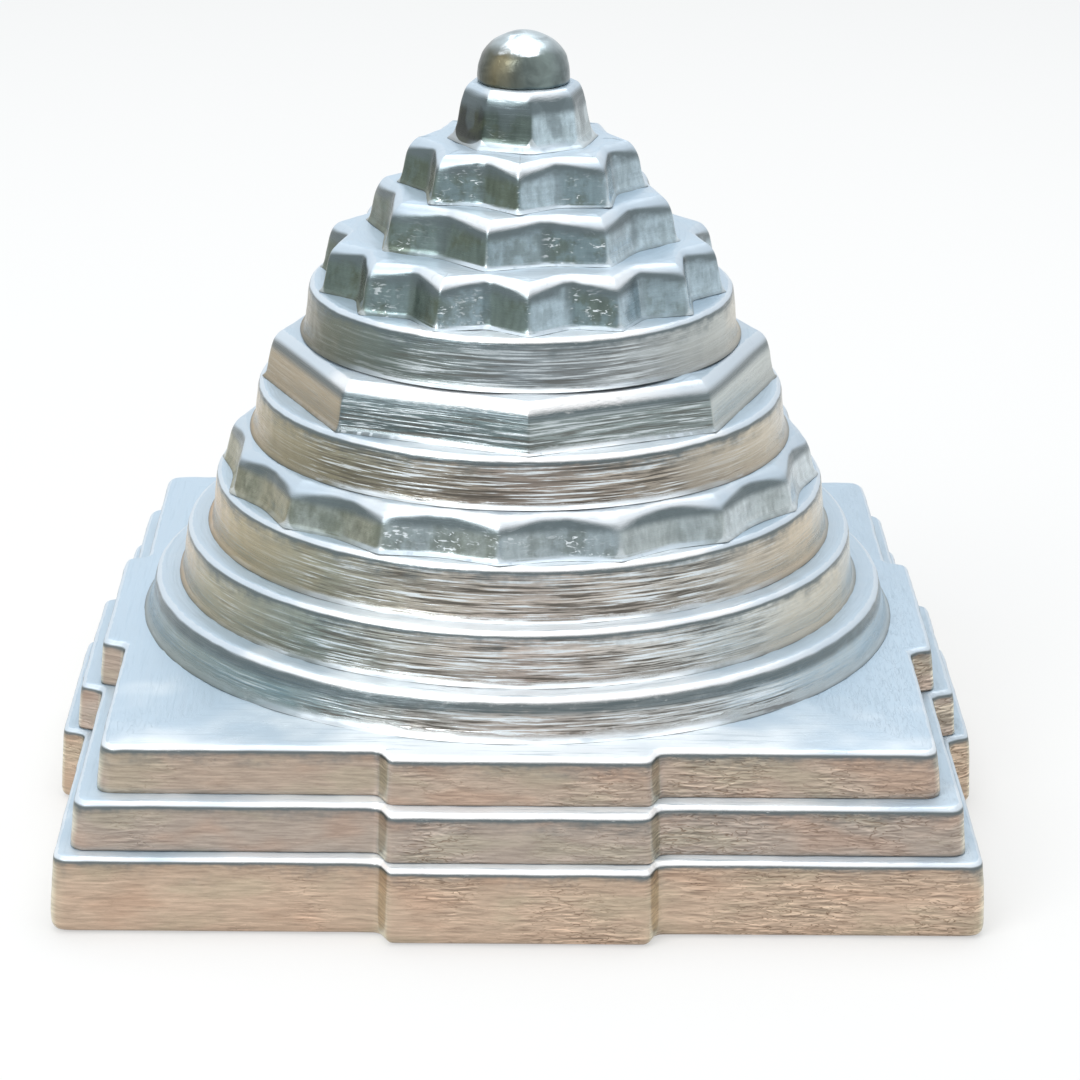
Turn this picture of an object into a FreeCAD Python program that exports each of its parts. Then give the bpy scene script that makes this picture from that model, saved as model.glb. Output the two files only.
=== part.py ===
"""Meru shri yantra: a stepped metal mountain of fourteen tiers under a domed bindu.

Every tier is a plate of its own.  A round spigot on each plate seats in a recess
under the next one, a dowel keeps the pair from turning, and a tie rod through all
of them is screwed into the bindu and drawn tight by a nut under the base.

Millimetres, +Z up.  The origin is the centre of the base's underside, and the
front of the yantra faces -Y.
"""

import FreeCAD
import Part

import math
import os

Vector = FreeCAD.Vector

# Square tiers of the bhupura: half width at the foot, at the lip, and rise
SQUARE_LOWER_FOOT = 38.0
SQUARE_LOWER_LIP = 37.55
SQUARE_LOWER_RISE = 6.6
SQUARE_MIDDLE_FOOT = 36.35
SQUARE_MIDDLE_LIP = 35.9
SQUARE_MIDDLE_RISE = 4.15
SQUARE_UPPER_FOOT = 34.3
SQUARE_UPPER_LIP = 34.0
SQUARE_UPPER_RISE = 4.05

# Gates: the middle part of every side of a square tier stands forward, on splayed flanks
GATE_DEPTH = 2.0
GATE_HALF_WIDTH = 10.6
GATE_SPLAY = 0.8

# Round tiers: radius at the foot, at the lip, and rise
GIRDLE_LOWER_FOOT = 32.75
GIRDLE_LOWER_LIP = 31.9
GIRDLE_LOWER_RISE = 3.55
GIRDLE_MIDDLE_FOOT = 29.55
GIRDLE_MIDDLE_LIP = 28.9
GIRDLE_MIDDLE_RISE = 4.6
GIRDLE_UPPER_FOOT = 26.95
GIRDLE_UPPER_LIP = 26.65
GIRDLE_UPPER_RISE = 4.65
LOTUS_RING_FOOT = 23.2
LOTUS_RING_LIP = 22.75
LOTUS_RING_RISE = 4.3
STAR_RING_FOOT = 18.75
STAR_RING_LIP = 18.4
STAR_RING_RISE = 4.4

# Sixteen-petalled lotus: petal tips and the valleys between them
SIXTEEN_TIP_FOOT = 26.0
SIXTEEN_TIP_LIP = 25.3
SIXTEEN_VALLEY_FOOT = 24.7
SIXTEEN_RISE = 3.85
SIXTEEN_TURN = -4.0

# Eight-cornered lotus tier
OCTAGON_CORNER_FOOT = 22.2
OCTAGON_CORNER_LIP = 21.35
OCTAGON_RISE = 4.35
OCTAGON_TURN = 1.5

# Star of fourteen points
FOURTEEN_TIP_FOOT = 17.7
FOURTEEN_TIP_LIP = 17.0
FOURTEEN_VALLEY_FOOT = 15.5
FOURTEEN_RISE = 4.35
FOURTEEN_TURN = 1.8

# Lower and upper stars of eight points
EIGHT_LOWER_TIP_FOOT = 13.7
EIGHT_LOWER_TIP_LIP = 13.0
EIGHT_LOWER_VALLEY_FOOT = 11.6
EIGHT_LOWER_RISE = 4.1
EIGHT_LOWER_TURN = -13.0
EIGHT_UPPER_TIP_FOOT = 10.65
EIGHT_UPPER_TIP_LIP = 9.9
EIGHT_UPPER_VALLEY_FOOT = 8.5
EIGHT_UPPER_RISE = 4.1
EIGHT_UPPER_TURN = -2.0

# Crown block: an octagonal stub with a flared foot
CROWN_FOOT = 6.6
CROWN_WAIST = 5.75
CROWN_WAIST_HEIGHT = 1.3
CROWN_LIP = 5.2
CROWN_RISE = 4.85
CROWN_TURN = 7.0
CROWN_SOCKET_FLOOR = 0.3

# Bindu: a hemisphere on a short drum, with a tapped stem below
BINDU_R = 4.0
BINDU_RISE = 4.35
BINDU_NECK_R = 3.7
BINDU_STEM_R = 2.6
BINDU_CROWN_WALL = 1.2

# Points and corners
PETAL_COUNT = 16
LOTUS_CORNER_COUNT = 8
OUTER_STAR_POINT_COUNT = 14
INNER_STAR_POINT_COUNT = 8
CROWN_CORNER_COUNT = 8
TIP_FLAT = 0.8
CORNER_FLAT = 0.6

# Rounding left by casting and polishing
LIP_ROUND = 0.55
STAR_LIP_ROUND = 0.45
PETAL_VALLEY_ROUND = 2.0
STAR_VALLEY_ROUND = 0.8
SQUARE_CORNER_ROUND = 1.4
FOOT_BREAK = 0.15

# How near an edge must lie to a height or a radius to be taken for it
HEIGHT_MATCH = 0.01
RADIUS_MATCH = 0.05
LEAST_CLIMB = 0.5

# Spigots that centre each tier on the one below
WIDE_SPIGOT_R = 16.0
MIDDLE_SPIGOT_R = 10.0
NARROW_SPIGOT_R = 5.0
CROWN_SPIGOT_R = 4.2
SPIGOT_RISE = 1.5
SPIGOT_CHAMFER = 0.2
SEAT_CLEARANCE = 0.05
SEAT_END_GAP = 0.2

# Dowels that keep each tier from turning
DOWEL_R = 0.5
DOWEL_LENGTH = 2.0
DOWEL_CLEARANCE = 0.03
DOWEL_END_GAP = 0.1
DOWEL_STEP_ANGLE = 75.0

# Tie rod, nut and washer
ROD_R = 1.5
ROD_CLEARANCE = 0.15
ROD_PROUD = 0.2
ROD_TIP_GAP = 0.3
ROD_CHAMFER = 0.25
THREAD_CLEARANCE = 0.02
NUT_ACROSS_FLATS = 5.5
NUT_HEIGHT = 2.4
WASHER_R = 3.5
WASHER_THICKNESS = 0.5
NUT_POCKET_R = 5.0

# Base cover and its screws
COVER_R = 14.0
COVER_THICKNESS = 1.0
COVER_SETBACK = 0.1
COVER_CLEARANCE = 0.1
COVER_SCREW_COUNT = 3
SCREW_CIRCLE_R = 10.0
SCREW_R = 1.0
SCREW_HEAD_R = 1.9
SCREW_LENGTH = 3.6
SCREW_END_GAP = 0.1
SCREW_SLOT_WIDTH = 0.4
SCREW_SLOT_DEPTH = 0.4

# Heights of the seats, lowest first
Z_SQUARE_LOWER = 0.0
Z_SQUARE_MIDDLE = Z_SQUARE_LOWER + SQUARE_LOWER_RISE
Z_SQUARE_UPPER = Z_SQUARE_MIDDLE + SQUARE_MIDDLE_RISE
Z_GIRDLE_LOWER = Z_SQUARE_UPPER + SQUARE_UPPER_RISE
Z_GIRDLE_MIDDLE = Z_GIRDLE_LOWER + GIRDLE_LOWER_RISE
Z_GIRDLE_UPPER = Z_GIRDLE_MIDDLE + GIRDLE_MIDDLE_RISE
Z_SIXTEEN = Z_GIRDLE_UPPER + GIRDLE_UPPER_RISE
Z_LOTUS_RING = Z_SIXTEEN + SIXTEEN_RISE
Z_OCTAGON = Z_LOTUS_RING + LOTUS_RING_RISE
Z_STAR_RING = Z_OCTAGON + OCTAGON_RISE
Z_FOURTEEN = Z_STAR_RING + STAR_RING_RISE
Z_EIGHT_LOWER = Z_FOURTEEN + FOURTEEN_RISE
Z_EIGHT_UPPER = Z_EIGHT_LOWER + EIGHT_LOWER_RISE
Z_CROWN = Z_EIGHT_UPPER + EIGHT_UPPER_RISE
Z_BINDU = Z_CROWN + CROWN_RISE

# The bindu's socket ends in a floor above the crown block's dowel hole
Z_SOCKET = Z_CROWN + SPIGOT_RISE + DOWEL_LENGTH / 2 + DOWEL_END_GAP + CROWN_SOCKET_FLOOR
Z_STEM = Z_SOCKET + SEAT_END_GAP

# Levels under the base, from the cover up to the washer's seat
Z_COVER_TOP = COVER_SETBACK + COVER_THICKNESS
Z_ROD_END = Z_COVER_TOP + COVER_CLEARANCE
Z_NUT = Z_ROD_END + ROD_PROUD
Z_WASHER = Z_NUT + NUT_HEIGHT
Z_WASHER_SEAT = Z_WASHER + WASHER_THICKNESS

# The interfaces between neighbouring tiers: seat height and spigot radius
SEATS = [
    (Z_SQUARE_MIDDLE, WIDE_SPIGOT_R),
    (Z_SQUARE_UPPER, WIDE_SPIGOT_R),
    (Z_GIRDLE_LOWER, WIDE_SPIGOT_R),
    (Z_GIRDLE_MIDDLE, WIDE_SPIGOT_R),
    (Z_GIRDLE_UPPER, WIDE_SPIGOT_R),
    (Z_SIXTEEN, WIDE_SPIGOT_R),
    (Z_LOTUS_RING, WIDE_SPIGOT_R),
    (Z_OCTAGON, MIDDLE_SPIGOT_R),
    (Z_STAR_RING, MIDDLE_SPIGOT_R),
    (Z_FOURTEEN, MIDDLE_SPIGOT_R),
    (Z_EIGHT_LOWER, NARROW_SPIGOT_R),
    (Z_EIGHT_UPPER, NARROW_SPIGOT_R),
    (Z_CROWN, CROWN_SPIGOT_R),
]


def cylinder(radius, low, high, x=0.0, y=0.0):
    """Upright cylinder between two heights."""
    return Part.makeCylinder(radius, high - low, Vector(x, y, low))


def on_circle(radius, degrees):
    """Point at an angle counted from the front of the yantra towards +X."""
    angle = math.radians(degrees)
    return radius * math.sin(angle), -radius * math.cos(angle)


def star_outline(count, tip_r, valley_r, turn, tip_flat):
    """Star with blunted tips; a valley radius of None leaves a blunted polygon."""
    outline = []
    step = 360.0 / count
    half_flat = math.degrees(math.atan2(tip_flat / 2, tip_r))
    flat_r = math.hypot(tip_r, tip_flat / 2)
    for index in range(count):
        middle = turn + index * step
        outline.append(on_circle(flat_r, middle - half_flat))
        outline.append(on_circle(flat_r, middle + half_flat))
        if valley_r is not None:
            outline.append(on_circle(valley_r, middle + step / 2))
    return outline


def gated_square_outline(half):
    """Square whose four sides each carry a gate that stands forward."""
    gate = GATE_HALF_WIDTH
    root = gate + GATE_SPLAY
    reach = half + GATE_DEPTH
    side = [(-half, -half), (-root, -half), (-gate, -reach), (gate, -reach), (root, -half)]
    outline = []
    for quarter in range(4):
        for x, y in side:
            for _ in range(quarter):
                x, y = -y, x
            outline.append((x, y))
    return outline


def flat_face(corners):
    """Plane face inside a closed loop of corners."""
    return Part.Face(Part.makePolygon(corners + corners[:1]))


def drafted_prism(sections):
    """Flat-sided solid through outlines given as (height, outline) pairs."""
    rings = []
    for height, outline in sections:
        rings.append([Vector(x, y, height) for x, y in outline])
    faces = [flat_face(rings[0][::-1]), flat_face(rings[-1])]
    for lower, upper in zip(rings, rings[1:]):
        for index in range(len(lower)):
            after = (index + 1) % len(lower)
            faces.append(flat_face([lower[index], lower[after], upper[after], upper[index]]))
    shell = Part.makeShell(faces)
    shell.sewShape()
    return Part.makeSolid(shell)


def shrunk(outline, from_r, to_r):
    """Outline drawn in towards the axis, so that one radius becomes another."""
    return [(x * to_r / from_r, y * to_r / from_r) for x, y in outline]


def edge_ends(edge):
    """The two end points of an edge."""
    return edge.Vertexes[0].Point, edge.Vertexes[-1].Point


def upright_edges(solid, low, radius):
    """Edges that climb from a height and whose foot lies on a radius."""
    found = []
    for edge in solid.Edges:
        first, last = edge_ends(edge)
        foot = first if first.z < last.z else last
        climbs = abs(first.z - last.z) > LEAST_CLIMB and abs(foot.z - low) < HEIGHT_MATCH
        if climbs and abs(math.hypot(foot.x, foot.y) - radius) < RADIUS_MATCH:
            found.append(edge)
    return found


def level_edges(solid, height):
    """Edges that lie wholly at one height."""
    found = []
    for edge in solid.Edges:
        box = edge.BoundBox
        if abs(box.ZMin - height) < HEIGHT_MATCH and abs(box.ZMax - height) < HEIGHT_MATCH:
            found.append(edge)
    return found


def round_lip(solid, low, high, radius):
    """Round the lip that runs round a tread, and break the edge at the foot."""
    broken = solid.makeChamfer(FOOT_BREAK, level_edges(solid, low))
    return broken.makeFillet(radius, level_edges(broken, high))


def seat_index(height):
    """Number of the interface at a seat height, counted from the base."""
    for index, (seat, _) in enumerate(SEATS):
        if abs(seat - height) < HEIGHT_MATCH:
            return index
    raise ValueError("no seat at this height")


def dowel_place(index):
    """Centre of the dowel that crosses an interface, in its spigot's ring."""
    radius = (ROD_R + ROD_CLEARANCE + SEATS[index][1]) / 2
    return on_circle(radius, index * DOWEL_STEP_ANGLE)


def add_spigot(solid, seat):
    """Grow the spigot that the next tier sits on, with its dowel hole."""
    index = seat_index(seat)
    radius = SEATS[index][1]
    top = seat + SPIGOT_RISE
    spigot = cylinder(radius, seat - SPIGOT_RISE, top)
    spigot = spigot.makeChamfer(SPIGOT_CHAMFER, level_edges(spigot, top))
    x, y = dowel_place(index)
    depth = DOWEL_LENGTH / 2 + DOWEL_END_GAP
    hole = cylinder(DOWEL_R + DOWEL_CLEARANCE, top - depth, top, x, y)
    return solid.fuse(spigot).removeSplitter().cut(hole)


def cut_recess(solid, seat):
    """Sink the recess that takes the spigot below, with its dowel hole."""
    index = seat_index(seat)
    radius = SEATS[index][1] + SEAT_CLEARANCE
    ceiling = seat + SPIGOT_RISE + SEAT_END_GAP
    recess = cylinder(radius, seat, ceiling)
    x, y = dowel_place(index)
    top = seat + SPIGOT_RISE + DOWEL_LENGTH / 2 + DOWEL_END_GAP
    hole = cylinder(DOWEL_R + DOWEL_CLEARANCE, ceiling, top, x, y)
    return solid.cut(recess).cut(hole)


def bore_for_rod(solid):
    """Run the tie rod's clearance bore through a tier."""
    box = solid.BoundBox
    return solid.cut(cylinder(ROD_R + ROD_CLEARANCE, box.ZMin, box.ZMax))


def finish_tier(solid, seat, next_seat):
    """Give a tier its recess below, its spigot above and the rod's bore."""
    solid = add_spigot(solid, next_seat)
    solid = cut_recess(solid, seat)
    return bore_for_rod(solid)


def gated_square(foot, lip, low, high):
    """Square plate with gates, drafted, with its corners and lip rounded."""
    solid = drafted_prism([(low, gated_square_outline(foot)), (high, gated_square_outline(lip))])
    corner_r = math.hypot(foot, foot)
    gate_r = math.hypot(GATE_HALF_WIDTH, foot + GATE_DEPTH)
    solid = solid.makeFillet(SQUARE_CORNER_ROUND, upright_edges(solid, low, corner_r))
    gate_corners = upright_edges(solid, low, gate_r)
    solid = solid.makeFillet(LIP_ROUND, gate_corners + level_edges(solid, high))
    return solid.makeChamfer(FOOT_BREAK, level_edges(solid, low))


def round_plate(foot, lip, low, high):
    """Round plate with a drafted riser and a rounded lip."""
    drum = Part.makeCone(foot, lip, high - low, Vector(0, 0, low))
    return round_lip(drum, low, high, LIP_ROUND)


def pointed_plate(count, tip_foot, tip_lip, valley, valley_round, turn, low, high):
    """Star plate with blunted tips, soft valleys, a drafted riser and a rounded lip."""
    foot = star_outline(count, tip_foot, valley, turn, TIP_FLAT)
    solid = drafted_prism([(low, foot), (high, shrunk(foot, tip_foot, tip_lip))])
    solid = solid.makeFillet(valley_round, upright_edges(solid, low, valley))
    return round_lip(solid, low, high, STAR_LIP_ROUND)


def bhupura_lower():
    """Lowest square tier, pocketed below for the nut and the cover."""
    solid = gated_square(SQUARE_LOWER_FOOT, SQUARE_LOWER_LIP, Z_SQUARE_LOWER, Z_SQUARE_MIDDLE)
    solid = bore_for_rod(add_spigot(solid, Z_SQUARE_MIDDLE))
    pocket = cylinder(COVER_R + COVER_CLEARANCE, Z_SQUARE_LOWER, Z_COVER_TOP)
    solid = solid.cut(pocket)
    solid = solid.cut(cylinder(NUT_POCKET_R, Z_COVER_TOP, Z_WASHER_SEAT))
    for x, y in screw_places():
        top = COVER_SETBACK + SCREW_LENGTH + SCREW_END_GAP
        solid = solid.cut(cylinder(SCREW_R + THREAD_CLEARANCE, Z_COVER_TOP, top, x, y))
    return solid


def bhupura_middle():
    """Middle square tier."""
    solid = gated_square(SQUARE_MIDDLE_FOOT, SQUARE_MIDDLE_LIP, Z_SQUARE_MIDDLE, Z_SQUARE_UPPER)
    return finish_tier(solid, Z_SQUARE_MIDDLE, Z_SQUARE_UPPER)


def bhupura_upper():
    """Upper square tier."""
    solid = gated_square(SQUARE_UPPER_FOOT, SQUARE_UPPER_LIP, Z_SQUARE_UPPER, Z_GIRDLE_LOWER)
    return finish_tier(solid, Z_SQUARE_UPPER, Z_GIRDLE_LOWER)


def mekhala_lower():
    """Lowest of the three round girdles."""
    solid = round_plate(GIRDLE_LOWER_FOOT, GIRDLE_LOWER_LIP, Z_GIRDLE_LOWER, Z_GIRDLE_MIDDLE)
    return finish_tier(solid, Z_GIRDLE_LOWER, Z_GIRDLE_MIDDLE)


def mekhala_middle():
    """Middle round girdle."""
    solid = round_plate(GIRDLE_MIDDLE_FOOT, GIRDLE_MIDDLE_LIP, Z_GIRDLE_MIDDLE, Z_GIRDLE_UPPER)
    return finish_tier(solid, Z_GIRDLE_MIDDLE, Z_GIRDLE_UPPER)


def mekhala_upper():
    """Uppermost round girdle."""
    solid = round_plate(GIRDLE_UPPER_FOOT, GIRDLE_UPPER_LIP, Z_GIRDLE_UPPER, Z_SIXTEEN)
    return finish_tier(solid, Z_GIRDLE_UPPER, Z_SIXTEEN)


def lotus_sixteen():
    """Lotus tier of sixteen petals, with soft valleys between them."""
    solid = pointed_plate(PETAL_COUNT, SIXTEEN_TIP_FOOT, SIXTEEN_TIP_LIP, SIXTEEN_VALLEY_FOOT,
                          PETAL_VALLEY_ROUND, SIXTEEN_TURN, Z_SIXTEEN, Z_LOTUS_RING)
    return finish_tier(solid, Z_SIXTEEN, Z_LOTUS_RING)


def lotus_ring():
    """Round tier between the two lotuses."""
    solid = round_plate(LOTUS_RING_FOOT, LOTUS_RING_LIP, Z_LOTUS_RING, Z_OCTAGON)
    return finish_tier(solid, Z_LOTUS_RING, Z_OCTAGON)


def lotus_eight():
    """Lotus tier of eight corners, one of them at the front."""
    foot = star_outline(LOTUS_CORNER_COUNT, OCTAGON_CORNER_FOOT, None, OCTAGON_TURN, CORNER_FLAT)
    lip = shrunk(foot, OCTAGON_CORNER_FOOT, OCTAGON_CORNER_LIP)
    solid = drafted_prism([(Z_OCTAGON, foot), (Z_STAR_RING, lip)])
    solid = round_lip(solid, Z_OCTAGON, Z_STAR_RING, STAR_LIP_ROUND)
    return finish_tier(solid, Z_OCTAGON, Z_STAR_RING)


def star_ring():
    """Round tier that carries the stars."""
    solid = round_plate(STAR_RING_FOOT, STAR_RING_LIP, Z_STAR_RING, Z_FOURTEEN)
    return finish_tier(solid, Z_STAR_RING, Z_FOURTEEN)


def star_fourteen():
    """Star tier of fourteen points."""
    solid = pointed_plate(OUTER_STAR_POINT_COUNT, FOURTEEN_TIP_FOOT, FOURTEEN_TIP_LIP,
                          FOURTEEN_VALLEY_FOOT, STAR_VALLEY_ROUND, FOURTEEN_TURN,
                          Z_FOURTEEN, Z_EIGHT_LOWER)
    return finish_tier(solid, Z_FOURTEEN, Z_EIGHT_LOWER)


def star_eight_lower():
    """Lower star tier of eight points."""
    solid = pointed_plate(INNER_STAR_POINT_COUNT, EIGHT_LOWER_TIP_FOOT, EIGHT_LOWER_TIP_LIP,
                          EIGHT_LOWER_VALLEY_FOOT, STAR_VALLEY_ROUND, EIGHT_LOWER_TURN,
                          Z_EIGHT_LOWER, Z_EIGHT_UPPER)
    return finish_tier(solid, Z_EIGHT_LOWER, Z_EIGHT_UPPER)


def star_eight_upper():
    """Upper star tier of eight points."""
    solid = pointed_plate(INNER_STAR_POINT_COUNT, EIGHT_UPPER_TIP_FOOT, EIGHT_UPPER_TIP_LIP,
                          EIGHT_UPPER_VALLEY_FOOT, STAR_VALLEY_ROUND, EIGHT_UPPER_TURN,
                          Z_EIGHT_UPPER, Z_CROWN)
    return finish_tier(solid, Z_EIGHT_UPPER, Z_CROWN)


def crown_block():
    """Octagonal stub under the bindu, socketed for the bindu's stem."""
    foot = star_outline(CROWN_CORNER_COUNT, CROWN_FOOT, None, CROWN_TURN, CORNER_FLAT)
    waist = shrunk(foot, CROWN_FOOT, CROWN_WAIST)
    lip = shrunk(foot, CROWN_FOOT, CROWN_LIP)
    waist_z = Z_CROWN + CROWN_WAIST_HEIGHT
    solid = drafted_prism([(Z_CROWN, foot), (waist_z, waist), (Z_BINDU, lip)])
    solid = round_lip(solid, Z_CROWN, Z_BINDU, STAR_LIP_ROUND)
    solid = bore_for_rod(cut_recess(solid, Z_CROWN))
    return solid.cut(cylinder(BINDU_STEM_R + SEAT_CLEARANCE, Z_SOCKET, Z_BINDU))


def bindu():
    """Domed drop at the summit, revolved, with its tapped stem."""
    spring = Z_BINDU + BINDU_RISE - BINDU_R
    summit = Z_BINDU + BINDU_RISE
    shoulder = BINDU_R * math.cos(math.radians(45))
    dome_foot = Vector(BINDU_R, 0, spring)
    corners = [Vector(0, 0, summit), Vector(0, 0, Z_BINDU), Vector(BINDU_NECK_R, 0, Z_BINDU), dome_foot]
    dome = Part.Arc(dome_foot, Vector(shoulder, 0, spring + shoulder), corners[0])
    profile = Part.Wire(Part.makePolygon(corners).Edges + [dome.toShape()])
    head = Part.Face(profile).revolve(Vector(0, 0, 0), Vector(0, 0, 1), 360)
    solid = head.fuse(cylinder(BINDU_STEM_R, Z_STEM, Z_BINDU))
    tapping = cylinder(ROD_R + THREAD_CLEARANCE, Z_STEM, summit - BINDU_CROWN_WALL)
    return solid.removeSplitter().cut(tapping)


def tie_rod():
    """Rod from below the nut up into the bindu, chamfered at both ends."""
    top = Z_BINDU + BINDU_RISE - BINDU_CROWN_WALL - ROD_TIP_GAP
    rod = cylinder(ROD_R, Z_ROD_END, top)
    ends = level_edges(rod, Z_ROD_END) + level_edges(rod, top)
    return rod.makeChamfer(ROD_CHAMFER, ends)


def tie_rod_nut():
    """Hexagon nut under the base, its corners turned off."""
    across_corners = NUT_ACROSS_FLATS / math.cos(math.radians(30))
    corners = []
    for index in range(6):
        x, y = on_circle(across_corners / 2, index * 60)
        corners.append(Vector(x, y, Z_NUT))
    hexagon = Part.Face(Part.makePolygon(corners + corners[:1]))
    prism = hexagon.extrude(Vector(0, 0, NUT_HEIGHT))
    bevel = across_corners / 2 - NUT_ACROSS_FLATS / 2
    turned = cylinder(across_corners / 2, Z_NUT, Z_WASHER)
    turned = turned.makeChamfer(bevel, level_edges(turned, Z_NUT))
    return prism.common(turned).cut(cylinder(ROD_R + THREAD_CLEARANCE, Z_NUT, Z_WASHER))


def tie_rod_washer():
    """Flat washer between the nut and the base."""
    disc = cylinder(WASHER_R, Z_WASHER, Z_WASHER_SEAT)
    return disc.cut(cylinder(ROD_R + ROD_CLEARANCE, Z_WASHER, Z_WASHER_SEAT))


def screw_places():
    """Centres of the cover's screws."""
    step = 360.0 / COVER_SCREW_COUNT
    return [on_circle(SCREW_CIRCLE_R, index * step) for index in range(COVER_SCREW_COUNT)]


def screw_head(x, y, grow):
    """Countersunk head, or the sink for it when grown by a clearance."""
    height = SCREW_HEAD_R - SCREW_R
    return Part.makeCone(SCREW_HEAD_R + grow, SCREW_R + grow, height, Vector(x, y, COVER_SETBACK))


def base_cover():
    """Disc that closes the pocket under the base."""
    disc = cylinder(COVER_R, COVER_SETBACK, Z_COVER_TOP)
    for x, y in screw_places():
        disc = disc.cut(screw_head(x, y, SEAT_CLEARANCE))
        disc = disc.cut(cylinder(SCREW_R + SEAT_CLEARANCE, COVER_SETBACK, Z_COVER_TOP, x, y))
    return disc


def base_cover_screws():
    """Slotted countersunk screws that hold the cover."""
    screws = []
    for x, y in screw_places():
        shank = cylinder(SCREW_R, COVER_SETBACK, COVER_SETBACK + SCREW_LENGTH, x, y)
        corner = Vector(x - SCREW_HEAD_R, y - SCREW_SLOT_WIDTH / 2, COVER_SETBACK)
        slot = Part.makeBox(2 * SCREW_HEAD_R, SCREW_SLOT_WIDTH, SCREW_SLOT_DEPTH, corner)
        screws.append(screw_head(x, y, 0.0).fuse(shank).removeSplitter().cut(slot))
    return Part.makeCompound(screws)


def tier_dowels():
    """One plain dowel across every interface below the bindu."""
    dowels = []
    for index, (seat, _) in enumerate(SEATS):
        x, y = dowel_place(index)
        middle = seat + SPIGOT_RISE
        dowels.append(cylinder(DOWEL_R, middle - DOWEL_LENGTH / 2, middle + DOWEL_LENGTH / 2, x, y))
    return Part.makeCompound(dowels)


NODES = [
    bhupura_lower,
    bhupura_middle,
    bhupura_upper,
    mekhala_lower,
    mekhala_middle,
    mekhala_upper,
    lotus_sixteen,
    lotus_ring,
    lotus_eight,
    star_ring,
    star_fourteen,
    star_eight_lower,
    star_eight_upper,
    crown_block,
    bindu,
    tie_rod,
    tie_rod_nut,
    tie_rod_washer,
    base_cover,
    base_cover_screws,
    tier_dowels,
]


def main():
    """Build every node and write it as a STEP file."""
    os.makedirs("parts", exist_ok=True)
    for make in NODES:
        make().exportStep("parts/" + make.__name__ + ".step")


main()
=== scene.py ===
"""Meru shri yantra: the cast and polished tiers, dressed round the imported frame.

Every tier is modelled again over its node, with the soft lips, coves and slight
waver of a hand-finished casting.  The steel parts inside keep their own shape.
Blender metres, +Z up; the front of the yantra faces -Y.
"""

import math
from functools import partial

import bmesh
import bpy
from bpy.props import FloatProperty, FloatVectorProperty, IntProperty, PointerProperty
from mathutils import Matrix, Vector


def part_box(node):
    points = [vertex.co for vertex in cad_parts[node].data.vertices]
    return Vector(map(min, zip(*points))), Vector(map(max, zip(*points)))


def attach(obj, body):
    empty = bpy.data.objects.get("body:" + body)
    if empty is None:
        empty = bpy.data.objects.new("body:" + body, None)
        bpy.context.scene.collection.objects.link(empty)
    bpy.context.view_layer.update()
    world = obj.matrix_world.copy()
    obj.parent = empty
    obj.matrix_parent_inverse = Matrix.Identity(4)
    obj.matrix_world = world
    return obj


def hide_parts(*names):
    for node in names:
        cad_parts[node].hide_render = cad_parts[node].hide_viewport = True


bl_info = {
    "name": "Meru shri yantra",
    "version": (1, 0, 0),
    "blender": (4, 5, 0),
    "location": "View3D > Sidebar > Yantra",
    "description": "Models and finishes the tiers of a meru shri yantra on its frame",
    "category": "Object",
}

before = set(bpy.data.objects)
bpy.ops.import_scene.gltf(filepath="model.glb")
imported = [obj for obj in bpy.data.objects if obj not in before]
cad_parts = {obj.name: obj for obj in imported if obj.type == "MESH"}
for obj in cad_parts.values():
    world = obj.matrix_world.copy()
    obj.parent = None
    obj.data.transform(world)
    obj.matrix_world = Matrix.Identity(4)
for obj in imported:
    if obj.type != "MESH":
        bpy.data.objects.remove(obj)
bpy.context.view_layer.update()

MM = 0.001
# How near two places count as one, and how finely cut edges are merged
CLOSE = 0.02 * MM
EXACT = 0.001 * MM
# Room left inside the solids' outline for the waver, and the height above a foot that it leaves alone
WAVER_ROOM = 0.06 * MM
STILL_FOOT = 0.25 * MM
# Rounding of a square tier's foot where it sits on another
SEAT_ROUND = 0.12 * MM
# Settings of shader nodes: a soft start and end, and colours instead of numbers
SMOOTH = {"interpolation_type": "SMOOTHSTEP"}
COLOURS = {"data_type": "RGBA"}

# The order of the stack, from the ground up
STACK = [
    "bhupura_lower", "bhupura_middle", "bhupura_upper",
    "mekhala_lower", "mekhala_middle", "mekhala_upper",
    "lotus_sixteen", "lotus_ring", "lotus_eight", "star_ring",
    "star_fourteen", "star_eight_lower", "star_eight_upper",
    "crown_block", "bindu",
]
STEEL_NODES = ["tie_rod", "tie_rod_nut", "tie_rod_washer", "base_cover", "base_cover_screws", "tier_dowels"]
BOXES = {node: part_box(node) for node in STACK}


def foot_of(node):
    """Height of a tier's foot; the bindu's stem is hidden in the crown block."""
    if node == "bindu":
        return BOXES["crown_block"][1].z
    return BOXES[node][0].z


def lip_of(node):
    """Height of a tier's tread, where the next tier of the stack stands."""
    if node == "bindu":
        return BOXES[node][1].z
    return foot_of(STACK[STACK.index(node) + 1])


def reach_of(node):
    """Half of a node's width, at its widest."""
    low, high = BOXES[node]
    return (high.x - low.x) / 2


def linear(hex_colour):
    """Linear red, green and blue of an sRGB hex value, with a full alpha."""
    channels = [int(hex_colour[at:at + 2], 16) / 255 for at in (0, 2, 4)]
    return [c / 12.92 if c <= 0.04045 else ((c + 0.055) / 1.055) ** 2.4 for c in channels] + [1.0]


def length(name, description, default):
    """A length property in metres."""
    return FloatProperty(name=name, description=description, default=default, min=0.0,
                         unit="LENGTH", subtype="DISTANCE", precision=5)


def angle(name, description, degrees):
    """An angle property, with its default given in degrees."""
    return FloatProperty(name=name, description=description, default=math.radians(degrees),
                         unit="ROTATION", subtype="ANGLE")


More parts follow.
